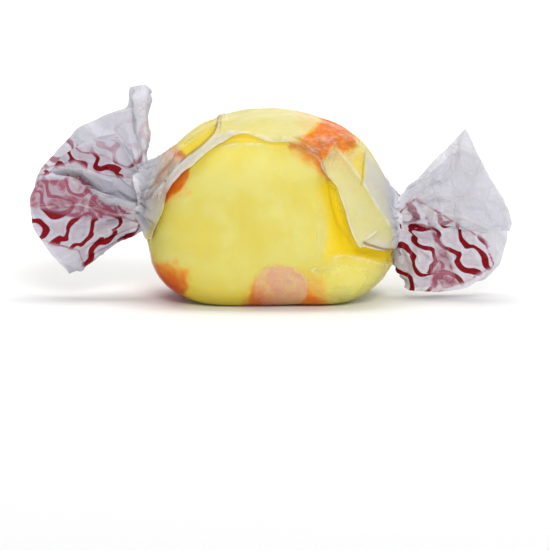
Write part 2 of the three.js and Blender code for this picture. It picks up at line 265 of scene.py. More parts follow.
def pulled_sugar():
    """A group that gives the sugar's colour, fine relief and roughness.

    Stripe is how deep a point lies in a stripe, in millimetres, and the second input how much painted
    shade darkens its colour.
    """
    group = bpy.data.node_groups.new("pulled_sugar", "ShaderNodeTree")
    for name in ("Stripe", "Shade"):
        group.interface.new_socket(name, in_out="INPUT", socket_type="NodeSocketFloat")
    for name, kind in (("Colour", "NodeSocketColor"), ("Height", "NodeSocketFloat"),
                       ("Roughness", "NodeSocketFloat")):
        group.interface.new_socket(name, in_out="OUTPUT", socket_type=kind)
    inside = node(group, "NodeGroupInput").outputs
    place = node(group, "ShaderNodeTexCoord").outputs["Object"]
    maths = partial(arithmetic, group)
    clouds = partial(noise, group, place)
    blur, grain = clouds(480.0, 6.0, Roughness=0.7).outputs[0], clouds(1500.0, 3.0).outputs[0]
    edge = inside["Stripe"]
    for wander, width in ((blur, BLEED), (grain, SPECKLE)):
        edge = maths("ADD", edge, maths("MULTIPLY_ADD", wander, width, -0.5 * width))
    cloud = ramped(group, clouds(260.0, 4.0).outputs[0], 0.35, 0.7)
    blotch = ramped(group, clouds(700.0, 5.0, Roughness=0.65).outputs[0], 0.48, 0.74)
    # Painted shade darkens the yellow towards golden and the orange towards a deeper red.
    yellow = mixed(group, inside["Shade"], mixed(group, cloud, YELLOW, PALE_YELLOW), GOLDEN_SHADE)
    strong = maths("SUBTRACT", ramped(group, edge, 0.4, 2.4), blotch, use_clamp=True)
    orange = mixed(group, inside["Shade"], mixed(group, strong, PALE_ORANGE, ORANGE), SHADED_ORANGE)
    pits = node(group, "ShaderNodeTexVoronoi", {"Vector": place, "Scale": 620.0})
    pit = ramped(group, pits.outputs["Distance"], 0.16, 0.05)
    node(group, "NodeGroupOutput", {
        "Colour": mixed(group, ramped(group, edge, 0.0, 1.0), yellow, orange),
        "Height": maths("SUBTRACT", grain, pit),
        "Roughness": stretched(group, grain, 0.38, 0.56)})
    return group


sugar_group = pulled_sugar()


def attribute(tree, name):
    """A value that the mesh stores for each of its points."""
    return node(tree, "ShaderNodeAttribute", attribute_name=name).outputs["Fac"]


def striped_sugar(tree):
    """The pulled sugar group, with the stripes and the painted shade that the mesh stores."""
    sugar = node(tree, "ShaderNodeGroup", node_tree=sugar_group)
    tree.links.new(attribute(tree, "stripe"), sugar.inputs["Stripe"])
    tree.links.new(attribute(tree, "deep"), sugar.inputs["Shade"])
    return sugar


def taffy(name, plain_colour):
    """Pulled sugar with a soft gloss that light enters a little way."""
    material = bpy.data.materials.new(name)
    tree = nodes_of(material)
    sugar = striped_sugar(tree)
    bump = node(tree, "ShaderNodeBump", {
        "Height": sugar.outputs["Height"], "Strength": 0.25, "Distance": 0.1 * MM})
    surface = node(tree, "ShaderNodeBsdfPrincipled", {
        "Base Color": sugar.outputs["Colour"],
        "Roughness": sugar.outputs["Roughness"],
        "Normal": bump.outputs[0],
        "Subsurface Weight": 0.25,
        "Subsurface Radius": (2.4 * MM, 1.4 * MM, 0.4 * MM),
        "Subsurface Scale": 1.0,
        "IOR": 1.45,
        "Specular IOR Level": 0.25,
    })
    node(tree, "ShaderNodeOutputMaterial", {"Surface": surface.outputs[0]})
    material.diffuse_color = plain_colour
    return material


# ---- The stripes ----
# Four ropes of the same sugar, coloured orange, laid in the yellow one's side before it was pulled,
# so they run from cut face to cut face and their colour has bled a little at the edges.

# Each one's place round the cut face in degrees, its width, its depth into the side, how far it
# drifts sideways on its way to the back, and how far its colour has run into the yellow.
STRIPES = {
    "stripe_upper_right": (55, 8.8, 3.4, 2.2, 0.6),
    "stripe_left": (160, 5.0, 2.4, -1.6, 0.6),
    "stripe_lower_left": (214, 5.8, 2.9, 1.2, 1.0),
    "stripe_bottom": (279, 7.6, 3.6, -1.4, 1.1),
}
ROPE_LENGTH = BLOCK_DEPTH * 1.6  # so that it stands out of both cut faces
NO_STRIPE = -9.0  # how deep in a stripe a point is that shows none of its orange
ROPE_SWELL = 0.16  # how much thicker and thinner a rope gets, as a share of its size
FOOT_SHADE, LEFT_FOOT_SHADE = 0.5, 0.65  # how much painted shade darkens it low down, and more of it at the left


def rope_frame(place):
    """The side point, the outward way and the sideways way of the stripe at that place."""
    turn = math.radians(place)
    outward = np.array([math.cos(turn), 0, math.sin(turn)])
    side = heart + outward * reach(heart[None], outward[None])[0]
    return side, outward, np.array([-outward[2], 0, outward[0]])


def rope_sizes(along, place, width, depth):
    """Half width and depth of a rope at shares of the way from front to back."""
    swell = 1 + ROPE_SWELL * np.sin(5 * along + place)
    return width / 2 * swell, depth * swell


def rope(name, place, width, depth, drift, rings=40, sides=48):
    """The space that a stripe takes up, as a closed bar that passes right through the block."""
    side, outward, sideways = rope_frame(place)
    along = np.linspace(-0.5, 0.5, rings + 1)
    half, deep = rope_sizes(along, place, width, depth)
    turn = np.linspace(0, 2 * np.pi, sides, endpoint=False)
    points = (side
              + (half[:, None] * np.cos(turn) + drift * along[:, None])[..., None] * sideways
              + (deep[:, None] * np.sin(turn))[..., None] * outward)
    points[..., 1] = along[:, None] * ROPE_LENGTH
    ring = np.arange(sides)
    start = (np.arange(rings) * sides)[:, None]
    following = (ring + 1) % sides
    faces = np.stack([start + ring, start + following, start + following + sides,
                      start + ring + sides], -1)
    bar = new_piece(name, points.reshape(-1, 3), faces.reshape(-1, 4))
    closed = bmesh.new()
    closed.from_mesh(bar.data)
    closed.verts.ensure_lookup_table()
    for first in (0, rings * sides):
        closed.faces.new([closed.verts[first + i] for i in range(sides)])
    bmesh.ops.recalc_face_normals(closed, faces=closed.faces)
    closed.to_mesh(bar.data)
    closed.free()
    return bar


def cut(piece, tool, operation):
    """Keeps what a piece shares with the tool, or takes the tool's space out of it."""
    boolean = piece.modifiers.new("cut", "BOOLEAN")
    boolean.operation = operation
    boolean.solver = "MANIFOLD"
    boolean.object = tool
    bpy.context.view_layer.objects.active = piece
    bpy.ops.object.modifier_apply(modifier=boolean.name)


def striped(at):
    """How deep points lie inside a stripe, in millimetres, and less than 0 outside."""
    inside = np.full(at.shape[:-1], NO_STRIPE)
    for place, width, depth, drift, run in STRIPES.values():
        side, outward, sideways = rope_frame(place)
        along = at[..., 1] / ROPE_LENGTH
        half, deep = rope_sizes(along, place, width, depth)
        across = ((at - side) @ sideways - drift * along) / half
        inward = ((at - side) @ outward) / deep
        within_rope = (1 - np.hypot(across, inward)) * np.minimum(half, deep)
        inside = np.maximum(inside, within_rope + run)
    return inside


def shaded(at):
    """How much painted shade the sugar's colour takes: most in the front's hollow and low down at the
    foot.
    """
    foot = FOOT_SHADE * (1 - ramp(at[..., 2], 0.5, 3.5)) * ramp(-at[..., 0], -4, 2)
    foot += LEFT_FOOT_SHADE * ramp(-at[..., 0], 7, 12) * (1 - ramp(at[..., 2], 2, 6))
    return np.clip(np.maximum((dent(at) / DENT_DEPTH) ** 2, foot), 0, 1)


def noted(piece, name, values):
    """Stores a value for each point of a piece."""
    layer = piece.data.attributes.new(name, "FLOAT", "POINT")
    layer.data.foreach_set("value", np.ravel(values))


bars, sugar_pieces = [], [(block, "taffy", "taffy")]
for name, (*shape, _) in STRIPES.items():
    bars.append(rope(name + "_rope", *shape))
    stripe = bpy.data.objects.new("taffy_" + name, block.data.copy())
    bpy.context.scene.collection.objects.link(stripe)
    cut(stripe, bars[-1], "INTERSECT")
    sugar_pieces.append((stripe, name, "stripe"))
for bar in bars:
    cut(block, bar, "DIFFERENCE")
    bpy.data.objects.remove(bar)
finishes = {"taffy": taffy("yellow_taffy", YELLOW), "stripe": taffy("orange_taffy", ORANGE)}
for piece, nodes, slot in sugar_pieces:
    at = np.array([v.co for v in piece.data.vertices]) * 1000 - to_frame
    noted(piece, "stripe", striped(at))
    # Painted shade for the sugar's colour, in the hollow and low at the foot.
    noted(piece, "deep", shaded(at))
    piece.data.materials.clear()
    piece.data.materials.append(finishes[slot])
    piece.data.shade_smooth()
    piece.data.set_sharp_from_angle(angle=math.radians(35))
    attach(piece, "root")
    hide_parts(nodes)

# ---- The wrapper ----
# One sheet of thin white waxed paper with a red scroll print in bands near its two ends. It goes
# round the block with its long edges lapped over the top front, each end is gathered and twisted to
# a neck, and beyond the neck it opens again into a fan of creased folds.

PAPER = 0.06  # its thickness in millimetres
GROUND = 0.01  # the lowest that its faces come
LEFT_NECK, RIGHT_NECK = np.array([-14.1, 0, 11.6]), np.array([14.0, 0, 9.0])
NECK_RADIUS, TWIST = 2.3, 120  # the twist in degrees
COLUMNS = 230  # of points round the wrapper, from the lap's free edge to the hidden one
# Angles run round the wrapper in degrees: 0 faces the front, 90 up, 180 the back, 270 down.
INNER_EDGE = 360 + 104  # where the long edge that is hidden under the lap ends
LAP_FADES = 110, 150  # between these angles the lap comes down on to the block
UNDER_LAYER = 180  # past this angle the paper is the layer below the lap
UNDER_FRONT, UNDER_TOP = 250, 330  # past these it is drawn into the hollow, and is held by the lap
# The lap's free edge: the angle where it lies at shares of the way from neck to neck.
FREE_EDGE = np.array([
    [0, -66], [0.058, -54], [0.087, -46], [0.117, -35], [0.146, -17], [0.157, 9], [0.175, 19.5],
    [0.204, 28], [0.233, 33], [0.262, 37.5], [0.29, 43.5], [0.32, 48.5], [0.35, 51.5], [0.38, 53.5],
    [0.41, 54], [0.437, 52.5], [0.466, 50], [0.5, 49.5], [0.553, 49.5], [0.583, 47],
    [0.612, 43.5], [0.641, 39], [0.67, 32], [0.7, 26.5], [0.728, 13.5], [0.757, -10], [0.767, -15],
    [0.777, -14], [0.786, -14.4], [0.816, -17], [0.845, -20], [0.9, -26], [0.96, -43], [1, -76]])


def spoke(angle):
    """The unit way out from the line through the necks at that angle."""
    turn = np.radians(angle)
    return np.stack([np.zeros_like(turn), -np.cos(turn), np.sin(turn)], -1)


def axis_at(x):
    """The line through both necks, which the paper is gathered to."""
    share = (x - LEFT_NECK[0]) / (RIGHT_NECK[0] - LEFT_NECK[0])
    return LEFT_NECK + share[..., None] * (RIGHT_NECK - LEFT_NECK)


def taut_lines(angles, samples=141, shares=121):
    """The line that tight paper takes over the block at each angle, as x and radius at even shares.

    It runs from neck to neck along the block's own profile with the hollows bridged.
    """
    x = np.linspace(LEFT_NECK[0], RIGHT_NECK[0], samples)
    start = np.broadcast_to(axis_at(x), (len(angles), samples, 3))
    radius = reach(start, np.broadcast_to(spoke(angles)[:, None], start.shape))
    radius[:, [0, -1]] = NECK_RADIUS
    lines = np.empty((len(angles), shares, 2))
    for i, profile in enumerate(radius):
        hull = []
        for point in zip(x, profile):
            while len(hull) > 1 and ((hull[-1][0] - hull[-2][0]) * (point[1] - hull[-2][1])
                                     >= (hull[-1][1] - hull[-2][1]) * (point[0] - hull[-2][0])):
                hull.pop()
            hull.append(point)
        hull = np.array(hull)
        length = np.r_[0, np.hypot(*np.diff(hull, axis=0).T).cumsum()]
        even = np.linspace(0, length[-1], shares)
        lines[i] = np.stack([np.interp(even, length, hull[:, k]) for k in (0, 1)], -1)
    return lines


def softened(table, radius, wraps):
    """The table's rows, each averaged with its neighbours."""
    far = 3 * radius
    weights = np.exp(-0.5 * (np.arange(-far, far + 1) / radius) ** 2)
    weights = weights / weights.sum()
    padding = [(far, far)] + [(0, 0)] * (table.ndim - 1)
    padded = np.pad(table, padding, mode="wrap" if wraps else "edge")
    return np.apply_along_axis(lambda line: np.convolve(line, weights, "valid"), 0, padded)


LINE_STEP = 1.5  # degrees between taut lines
LINES = softened(taut_lines(np.arange(0, 360, LINE_STEP)), 2, wraps=True)


def taut(angle, share):
    """Points of the taut paper, between the four nearest points of its lines."""
    at = (angle % 360) / LINE_STEP
    along = np.clip(share, 0, 1) * (LINES.shape[1] - 1)
    i, j = np.floor(at).astype(int), np.minimum(along.astype(int), LINES.shape[1] - 2)
    a, b = (at - i)[..., None], (along - j)[..., None]
    i, k = i % len(LINES), (i + 1) % len(LINES)
    line = ((1 - a) * ((1 - b) * LINES[i, j] + b * LINES[i, j + 1])
            + a * ((1 - b) * LINES[k, j] + b * LINES[k, j + 1]))
    return axis_at(line[..., 0]) + line[..., 1:] * spoke(angle)


def facing(grid):
    """Unit vectors out of the paper at the points of a grid, rows along it and columns round it."""
    outward = np.cross(np.gradient(grid, axis=0), np.gradient(grid, axis=1))
    return outward / np.maximum(np.linalg.norm(outward, axis=-1, keepdims=True), 1e-9)


def crumpled(flat, size, seed):
    """Heights from -1 to 1 of paper crushed into flat facets of that size, at flat points in mm."""
    draw = np.random.default_rng(seed)
    low, high = flat.reshape(-1, 2).min(0) - 2 * size, flat.reshape(-1, 2).max(0) + 2 * size
    count = int(np.prod((high - low) / size))
    ends = [(a, b) for a in (low[0], high[0]) for b in (low[1], high[1])]
    corners = np.r_[draw.uniform(low, high, (count, 2)), ends]
    verts, _, tris, *_ = delaunay_2d_cdt([Vector(c) for c in corners], [], [], 0, 1e-6)
    lifts = draw.uniform(-1, 1, len(verts))
    tree = BVHTree.FromPolygons([(*v, h) for v, h in zip(verts, lifts)], tris)
    down = Vector((0, 0, -1))
    heights = [tree.ray_cast(Vector((a, b, 9)), down)[0].z for a, b in flat.reshape(-1, 2)]
    return np.array(heights).reshape(flat.shape[:-1])


def pleats(angle, share, seed, count=26):
    """Heights of the gathers that fan out over the shoulder from a neck at share 0."""
    draw = np.random.default_rng(seed)
    height = np.zeros_like(angle)
    for ridge in range(count):
        middle = 360 * (ridge + draw.uniform(-0.35, 0.35)) / count
        tall, wide, long = draw.uniform(0.3, 1.1), draw.uniform(4, 8), draw.uniform(0.1, 0.34)
        bend = draw.uniform(-40, 40) * share
        off = (angle - middle - bend + 180) % 360 - 180
        height += tall * np.clip(1 - np.abs(off) / wide, 0, 1) * (1 - ramp(share, 0, long))
    return height


# Creases in the front of the paper: x and z along each, height, half width and how white it is with
# painted highlight and cracked wax.
CREASES = [
    ([[-13.9, 11.5], [-12.9, 12.4], [-11.4, 14.3], [-10.3, 15.6], [-9.5, 16.3], [-7.7, 17.7],
      [-6.0, 19.2], [-5.6, 20.2], [-5.4, 20.8]], 0.45, 0.8, 0.9),
    ([[-14.3, 11.9], [-12.9, 14.1], [-11.3, 16.2], [-10.0, 17.5]], 0.4, 0.6, 0.5),
    ([[-14.4, 13.0], [-12.8, 15.0], [-11.3, 16.8]], 0.3, 0.5, 0.4),
    ([[-4.9, 19.8], [-3.7, 19.8], [-2.1, 19.7], [0.2, 19.1]], 0.2, 0.5, 0.6),
    ([[-5.5, 18.1], [-3.9, 18.5], [-2.3, 18.5], [-0.7, 18.5]], 0.15, 0.4, 0.5),
    ([[6.1, 17.0], [6.9, 18.0], [7.8, 17.5], [9.2, 15.8], [10.3, 14.2], [12.4, 10.7], [14.4, 6.9]],
     0.45, 1.2, 0.7),
    ([[10.3, 7.7], [11.1, 8.2], [12.0, 8.8]], 0.3, 0.5, 0.9),
    ([[1.2, 19.4], [3.0, 18.8], [4.6, 18.2], [5.7, 17.8]], 0.3, 0.5, 0.6),
    ([[4.8, 18.0], [6.0, 18.6], [7.4, 18.3]], 0.25, 0.45, 0.7),
    ([[5.2, 19.3], [6.7, 18.9], [8.0, 19.1], [9.4, 18.2]], 0.25, 0.45, 0.5),
    ([[3.4, 19.3], [4.8, 19.0], [6.3, 19.3], [7.4, 19.7]], 0.2, 0.4, 0.3),
    ([[8.2, 18.9], [9.2, 18.4], [10.0, 18.0]], 0.2, 0.4, 0.5),
    ([[3.6, 17.9], [5.0, 17.4], [5.9, 16.6]], 0.2, 0.4, 0.4),
    ([[6.6, 6.1], [8.6, 6.0], [10.9, 5.4], [14.1, 4.0]], 0.3, 0.8, 0.6),
    ([[4.6, 4.6], [5.2, 4.9], [6.3, 4.9]], 0.2, 0.5, 0.9),
    ([[14.1, 4.5], [12.9, 2.9], [12.4, 1.6]], 0.2, 0.6, 0.0),
]
# The dark lines of folds that light doesn't reach: x and z along each, and strength.
CREVICES = [
    ([[-10.1, 16.2], [-9.6, 16.7], [-7.8, 18.1], [-6.2, 19.5], [-5.9, 20.3], [-5.8, 20.9]], 0.9),
    ([[-13.5, 12.9], [-12.1, 14.9], [-10.7, 16.5]], 0.6),
    ([[-14.4, 10.2], [-13.8, 11.8], [-12.8, 13.1], [-11.4, 14.8], [-10.5, 15.7]], 0.5),
    ([[-14.4, 10.6], [-13.9, 12.2], [-13.2, 13.3], [-12.1, 15.0]], 0.45),
    ([[-14.0, 9.8], [-13.4, 9.6], [-12.9, 9.3]], 0.5),
    ([[10.8, 17.0], [10.5, 15.7], [10.1, 13.9]], 0.4),
    ([[10.3, 7.7], [11.7, 7.2], [13.1, 6.6], [14.4, 5.9]], 1.0),
    ([[13.0, 3.0], [14.0, 3.9]], 0.6),
    ([[2.6, 19.4], [4.6, 18.6], [5.6, 18.2]], 0.5),
    ([[3.2, 18.4], [4.6, 17.8], [5.8, 17.2]], 0.6),
    ([[5.4, 18.8], [6.5, 18.4], [8.0, 18.8]], 0.5),
    ([[5.4, 17.2], [6.0, 16.2], [6.5, 15.2]], 0.5),
    ([[8.4, 18.5], [9.6, 17.8]], 0.4),
    ([[6.5, 14.6], [6.9, 12.0], [7.6, 9.6], [9.2, 7.4]], 0.4),
]
# Places on the front that the tables after these use, as outlines in x and z.
HEM = [[-14.3, 9.2], [-12.9, 9.3], [-12.1, 11.9], [-11.7, 13.2], [-10.5, 14.6], [-9.2, 15.9],
       [-7.1, 17.6], [-5.1, 18.8], [-3.1, 19.5], [-3.9, 19.8], [-5.1, 19.6], [-6.4, 18.9],
       [-8.0, 17.9], [-9.8, 16.6], [-11.5, 14.8], [-13.2, 12.8], [-14.3, 10.5]]
LEFT_TENT = [[-15.0, 11.4], [-12.9, 12.5], [-11.2, 14.5], [-9.5, 16.3], [-9.9, 17.3], [-10.8, 17.2],
             [-12.0, 16.2], [-15.0, 13.4]]
RIGHT_TENT = [[10.8, 17.1], [12.6, 15.0], [15.0, 11.1], [14.9, 6.9], [12.4, 10.7], [10.4, 14.1],
              [10.8, 15.7]]
VALLEY = [[6.3, 14.8], [7.0, 14.6], [7.7, 13.4], [8.6, 10.5], [9.4, 7.8], [10.3, 6.9], [14.3, 5.8],
          [14.3, 4.8], [10.3, 5.8], [6.7, 6.1], [6.1, 5.7], [6.5, 8.1], [6.7, 11.4]]
CRESCENT = [[-8.9, 16.4], [-9.2, 14.7], [-10.1, 13.4], [-11.3, 12.9], [-11.8, 11.9], [-12.7, 11.8],
            [-12.3, 13.0], [-10.6, 15.0]]
# Where the paper stands off the sugar and looks milky, and how far in millimetres. The strip left of
# the valley is painted light instead: the lit side of its fold, made pale the same way.
STANDS_OFF_AND_LIT = [
    (0.5, HEM), (0.3, LEFT_TENT), (0.5, RIGHT_TENT),
    # Painted light: the lit side of the fold left of the valley.
    (0.2, [[5.3, 14.3], [6.1, 14.8], [6.4, 11.4], [6.3, 8.1], [5.9, 5.6], [5.0, 4.6], [5.2, 9.2]]),
    (0.2, [[6.5, 5.4], [13.8, 4.8], [13.6, 3.0], [9.0, 4.2], [5.6, 4.6]]),
]
# Where the lap, and where the layer below it, is drawn tight into a fold and painted shade gives
# the sugar's colour its deepest tone, and how much of it.
LAP_TIGHT_SHADE = [
    (1.0, [[-10.6, 16.8], [-9.7, 17.9], [-8.0, 19.0], [-6.6, 20.1], [-5.9, 20.2], [-6.1, 19.3],
           [-7.7, 18.1], [-9.5, 16.8]]),
    (0.55, [[-10.0, 17.5], [-8.0, 18.7], [-6.6, 19.8], [-5.5, 20.7], [-7.5, 22.5], [-11.5, 18.5]]),
    (0.5, [[9.7, 14.6], [9.4, 16.5], [10.1, 17.6], [10.9, 17.0], [10.8, 15.7], [10.4, 14.1]]),
]
UNDER_TIGHT_SHADE = [
    (1.0, VALLEY), (0.6, CRESCENT),
    (1.0, [[-6.7, 17.8], [-5.1, 18.5], [-4.0, 18.8], [-0.2, 18.7], [-0.9, 19.4], [-2.5, 19.9],
           [-3.8, 19.9], [-5.1, 19.2], [-6.6, 18.2]]),
    (0.9, [[-0.5, 18.9], [2.9, 18.9], [4.0, 18.2], [2.9, 18.1], [-0.2, 18.4]]),
    (0.8, [[-13.9, 7.2], [-13.0, 9.1], [-12.7, 8.6], [-13.4, 7.2]]),
]
# How many millimetres further a stripe's colour has run under the lap, and under the layer below.
# Less than 0 hides it behind a fold.
LAP_COLOUR = [
    (-7.0, [[-8.6, 23.5], [-8.6, 17.0], [1.3, 17.6], [1.5, 18.3], [3.4, 19.4], [4.8, 20.2],
            [6.0, 20.8], [7.0, 23.5]]),
    (1.5, [[1.5, 18.0], [3.4, 19.2], [4.8, 20.0], [6.0, 20.5], [7.5, 20.0], [9.2, 18.8],
           [10.3, 17.7], [8.0, 17.5], [6.9, 18.0], [6.0, 16.8]]),
    (-7.0, [[5.9, 14.0], [6.1, 16.6], [6.9, 18.1], [8.0, 17.4], [10.3, 17.6], [13.0, 16.5],
            [15.0, 6.0], [9.0, 6.0]]),
    (3.0, LEFT_TENT), (2.0, [[-14.6, 11.0], [-10.3, 14.4], [-9.9, 15.4], [-12.0, 15.2]]),
]
UNDER_COLOUR = [
    (2.5, CRESCENT),
    (-7.0, [[-8.4, 17.0], [-8.8, 14.6], [-9.8, 13.1], [-11.0, 12.5], [-11.6, 11.7], [-12.3, 10.8],
            [-12.9, 10.0], [-4.6, 10.0], [-4.6, 17.1]]),
    (1.3, [[1.4, 18.8], [3.8, 18.8], [6.4, 17.0], [7.0, 14.1], [5.5, 15.3], [3.4, 16.5],
           [1.6, 17.4]]),
    (-7.0, [[3.0, 7.0], [3.1, 3.7], [5.0, 2.3], [7.6, 0.5], [9.0, -0.5], [15.0, -0.5],
            [15.0, 7.0]]),
]
# The flat facet that the lap makes at the right.
FACET = [[6.3, 15.5], [6.1, 16.8], [7.8, 17.5], [9.2, 15.8], [10.3, 14.2], [12.4, 10.7],
         [14.4, 6.9], [11.7, 6.8], [10.0, 7.3], [9.4, 8.3], [8.6, 11.0], [7.7, 13.8]]
FACET_CALM = 0.8  # how much of the crumples and pleats it smooths away
# How far the lap's free edge curls off the layer below, at each x.
CURL = np.array([[-13, 0.1], [-9, 0.25], [-6, 0.2], [-3, 0.4], [3, 0.15], [6, 0.2], [8, 0.3],
                 [10, 0.45], [12, 0.35], [14, 0]])
CURL_WIDTH = 1.1
TIGHT_LIFT, LAP_LIFT = 0.05, 0.1  # how far tight paper stands off, and how much further the lap
PLEAT_HEIGHT, TIGHT_PLEATS = 1.5, 0.35  # and the share of it left where the paper is tight
BULGE_HEIGHT, BULGE_MIDDLE, BULGE_WIDTH = 0.6, -1, 6.5  # of the lap over the top front
BULGE_EASE = 1.5  # how far from the free edge the bulge begins
LARGE_FACET, SMALL_FACET, CRUSHED_FACET = 4.0, 1.8, 1.2  # sizes of the facets that crumples make
HELD_CRUMPLE, FREE_CRUMPLE, CRUSH_HEIGHT = 0.05, 0.27, 0.4  # their heights where held, free, crushed
# The middle and the widths, across and up, of the paper crushed at the upper right, and of the
# wider place where fine wrinkles show white, as painted highlight and cracked wax.
CRUSHED, WRINKLED = ([5.2, 17.8], [3, 1.8]), ([6.6, 18.4], [3.4, 2.0])
FRONT_DEPTH = 1.5  # paper with a smaller y than this belongs to the front
MEAN_RADIUS, MEAN_LENGTH = 11.0, 40  # of the paper over the block, to lay it out flat


def around(at, middle, widths):
    """1 at a middle and less away from it."""
    return np.exp(-(((at - middle) / widths) ** 2).sum(-1))


# Over the block, row by row from the left neck to the right one. Rows lie closer by the flap, where
# the free edge runs steeply, and columns lie closer at the front than behind.
BODY_ROWS = 104
share = np.linspace(0, 1, BODY_ROWS)[:, None]
share = np.interp(share, [0, 0.24, 0.46, 0.87, 1], [0, 0.22, 0.59, 0.83, 1])
column = np.interp(np.linspace(0, 1, COLUMNS)[None], [0, 0.4, 0.7, 1], [0, 0.26, 0.66, 1])
edge = np.interp(share, *FREE_EDGE.T)
angle = edge + (INNER_EDGE - edge) * column
share = np.broadcast_to(share, angle.shape)
lapped = 1 - ramp(angle, *LAP_FADES)
below = angle > UNDER_LAYER
body = taut(angle, share)
flat = np.stack([MEAN_RADIUS * np.radians(angle), MEAN_LENGTH * share], -1)
body[..., 1] += dent(body) * (angle > UNDER_FRONT)
found = [block_tree.find_nearest(Vector(p)) for p in (body.reshape(-1, 3) + to_frame) * MM]
touched = np.array([hit[0] for hit in found]).reshape(body.shape) * 1000 - to_frame
gap = np.array([hit[3] for hit in found]).reshape(angle.shape) * 1000
loose = ramp(gap, 0.1, 1.2)
front = body[..., 1] < FRONT_DEPTH
at = body[..., [0, 2]]
from_edge = far_from(body[:, 0][:, [0, 2]], at)

# How far it stands off the taut form. The lap steps over the layer below and curls at its edge,
# both layers are gathered in pleats to the necks, and crumples are taller where nothing holds them.
curled = np.interp(body[..., 0], *CURL.T)
level = 1 - FACET_CALM * front * within(FACET, at, soft=0.8)
lift = TIGHT_LIFT + lapped * (LAP_LIFT + curled * front * np.exp(-from_edge / CURL_WIDTH))
spread_out = TIGHT_PLEATS + (1 - TIGHT_PLEATS) * loose
lift += PLEAT_HEIGHT * pleats(angle, share, 3) * spread_out
lift += PLEAT_HEIGHT * pleats(angle, 1 - share, 8) * spread_out * level
bulge = np.exp(-(((body[..., 0] - BULGE_MIDDLE) / BULGE_WIDTH) ** 2))
lift += BULGE_HEIGHT * lapped * (bulge * (1 - np.exp(-from_edge / BULGE_EASE)))
free = np.clip(loose + 0.5 * lapped + 0.2 * (angle < UNDER_TOP), 0, 1) * level
crumples = crumpled(flat, LARGE_FACET, 5) + 0.5 * crumpled(flat, SMALL_FACET, 6) + 0.9
lift += crumples * (HELD_CRUMPLE + FREE_CRUMPLE * free)
crushed = around(at, *CRUSHED) * front
lift += CRUSH_HEIGHT * crushed * (crumpled(flat, CRUSHED_FACET, 7) + 1)
body += facing(body) * lift[..., None]
# The creases are raised last, at the places where the points have come to lie.
at = body[..., [0, 2]]
lift = np.zeros_like(gap)
for path, height, width, _ in CREASES:
    lift += front * height * np.clip(1 - far_from(path, at) / width, 0, 1)
body += facing(body) * lift[..., None]

# The fans: the rim of the sheet beyond each neck, as the folds that it makes in order. Each has its
# angle above the outward direction, its distance from the neck and its depth away from the front.
LEFT_FAN = [
    [93, 12.4, 2.6], [96, 12.8, 1.4], [93, 12.8, 0.4], [87, 12.6, 0.6], [84, 12.4, 1.6],
    [83, 10.1, 1.9], [68, 9.9, 2.7], [47, 10.2, 3.5], [29, 10.5, 3.6], [14, 11.5, 3.2],
    [-2, 12.4, 2.6], [-18, 12.4, 2.0], [-31, 11.8, 1.3], [-45, 11.5, 0.4], [-51, 12.0, -0.8],
    [-45, 11.5, -2.0], [-30, 11.7, -3.0], [-14, 12.2, -3.6], [2, 12.1, -3.4], [16, 11.2, -2.6],
    [20, 10.9, -1.6], [10, 11.4, -0.7], [-8, 11.9, -0.7], [-21, 11.8, -0.5], [-25, 11.5, 0.1],
    [-14, 11.6, 0.8], [6, 11.3, 1.2], [28, 9.8, 0.9], [50, 8.6, 0.5], [72, 7.6, 0.1],
]
RIGHT_FAN = [
    [56, 13.1, -2.3], [40, 11.7, -3.2], [24, 11.4, -3.8], [8, 12.5, -3.6], [-3, 12.7, -2.9],
    [-8, 12.5, -1.7], [0, 12.2, -0.8], [16, 11.4, -0.3], [32, 11.0, 0.1], [46, 10.6, 0.5],
    [50, 10.3, 1.3], [39, 11.5, 2.5], [23, 11.3, 3.2], [8, 12.4, 3.6], [-2, 12.7, 3.5],
    [-14, 12.8, 3.1], [-26, 12.9, 2.6], [-37, 12.4, 2.0], [-50, 10.0, 1.3], [-68, 8.6, 0.5],
    [-84, 7.9, -0.3], [-90, 7.7, -1.3], [-82, 7.9, -2.5], [-64, 8.8, -3.2], [-44, 10.6, -3.5],
    [-28, 11.8, -3.0], [-14, 12.0, -2.3], [-3, 11.6, -1.7],
]
# Creases of each fan, as paths in millimetres outward and up from its neck, and how white they are with
# painted highlight and cracked wax.
LEFT_CREASES = [
    ([[11.8, 3.4], [7.4, 3.1], [3.1, 2.3], [-0.7, 2.3]], 0.5),
    ([[7.4, 2.9], [5.4, 0.4], [2.3, -1.2], [0.4, -1.6]], 0.5),
    ([[9.2, 3.0], [6.9, 0.4], [4.6, -1.9]], 0.4),
    ([[12.3, -0.9], [7.7, -0.6], [3.5, -1.9], [0.6, -2.0]], 0.5),
    ([[6.8, 8.9], [3.6, 9.4], [0.4, 10.3]], 0.8),
    ([[10.6, -7.4], [5.2, -4.2], [1.0, -2.6]], 0.4),
    ([[1.4, 11.6], [0.9, 7.0], [0.2, 2.8]], 0.5),
    ([[8.4, 6.6], [4.4, 5.2], [0.8, 2.4]], 0.3),
]
RIGHT_CREASES = [
    ([[0.8, 1.2], [2.4, 2.8], [4.7, 0.9], [8.2, 0.6], [10.9, -0.7], [12.8, -4.8]], 0.7),
    ([[1.6, 1.6], [3.8, 0.6], [4.2, -3.3], [4.7, -7.9]], 0.3),
    ([[4.4, 0.8], [6.7, -0.9], [6.3, -4.0], [8.2, -7.4]], 0.3),
    ([[0.8, 0.4], [2.2, -3.4], [1.6, -8.0]], 0.2),
    ([[7.6, 10.6], [4.4, 5.0], [1.0, 1.4]], 0.3),
    ([[11.9, 4.2], [6.6, 2.4], [1.4, 0.8]], 0.3),
]
